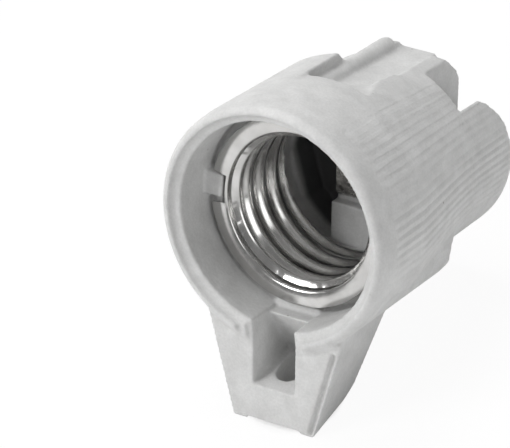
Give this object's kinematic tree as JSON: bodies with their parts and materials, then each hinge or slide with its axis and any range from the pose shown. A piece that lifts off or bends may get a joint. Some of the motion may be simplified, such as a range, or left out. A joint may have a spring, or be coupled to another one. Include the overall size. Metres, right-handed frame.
{
  "type": "angled lamp holder",
  "caption": "Ceramic screw-lamp holder on a slotted angled foot, with a rolled metal screw shell, a sprung centre contact and push-in wire entries at the back.",
  "frame": {"origin": "centre of the fixing screw where its slot meets the sole of the foot", "axes": "+Z away from the mounting face, +Y along the mounting face towards the wire entries, +X across the foot; the mouth looks along -Y and a little up"},
  "size_m": [0.041, 0.0561, 0.0533],
  "materials": {
    "porcelain": "matt, unglazed",
    "nickel_plate": "polished",
    "contact_metal": "nickel plated",
    "spring_steel": "satin"
  },
  "bodies": {
    "holder": {"porcelain_body": "porcelain", "screw_shell": "nickel_plate", "contact_rivet": "nickel_plate", "clamp_bar_foot_side": "contact_metal", "clamp_bar_far_side": "contact_metal"},
    "contact": {"centre_contact": "contact_metal"},
    "foot_side_leaf": {"clamp_leaf_foot_side": "spring_steel"},
    "far_side_leaf": {"clamp_leaf_far_side": "spring_steel"}
  },
  "joints": [
    {"name": "contact_flex", "type": "hinge", "parent": "holder", "child": "contact", "pos_m": [0, 0.02987, 0.0324], "axis": [1, 0, 0], "range_deg": [0, 8], "stiffness_Nm_per_rad": 0.35},
    {"name": "foot_side_leaf_flex", "type": "hinge", "parent": "holder", "child": "foot_side_leaf", "pos_m": [0, 0.03681, 0.01703], "axis": [-1, 0, 0], "range_deg": [0, 30], "stiffness_Nm_per_rad": 0.02},
    {"name": "far_side_leaf_flex", "type": "hinge", "parent": "holder", "child": "far_side_leaf", "pos_m": [0, 0.04041, 0.02932], "axis": [1, 0, 0], "range_deg": [0, 30], "stiffness_Nm_per_rad": 0.02}
  ]
}
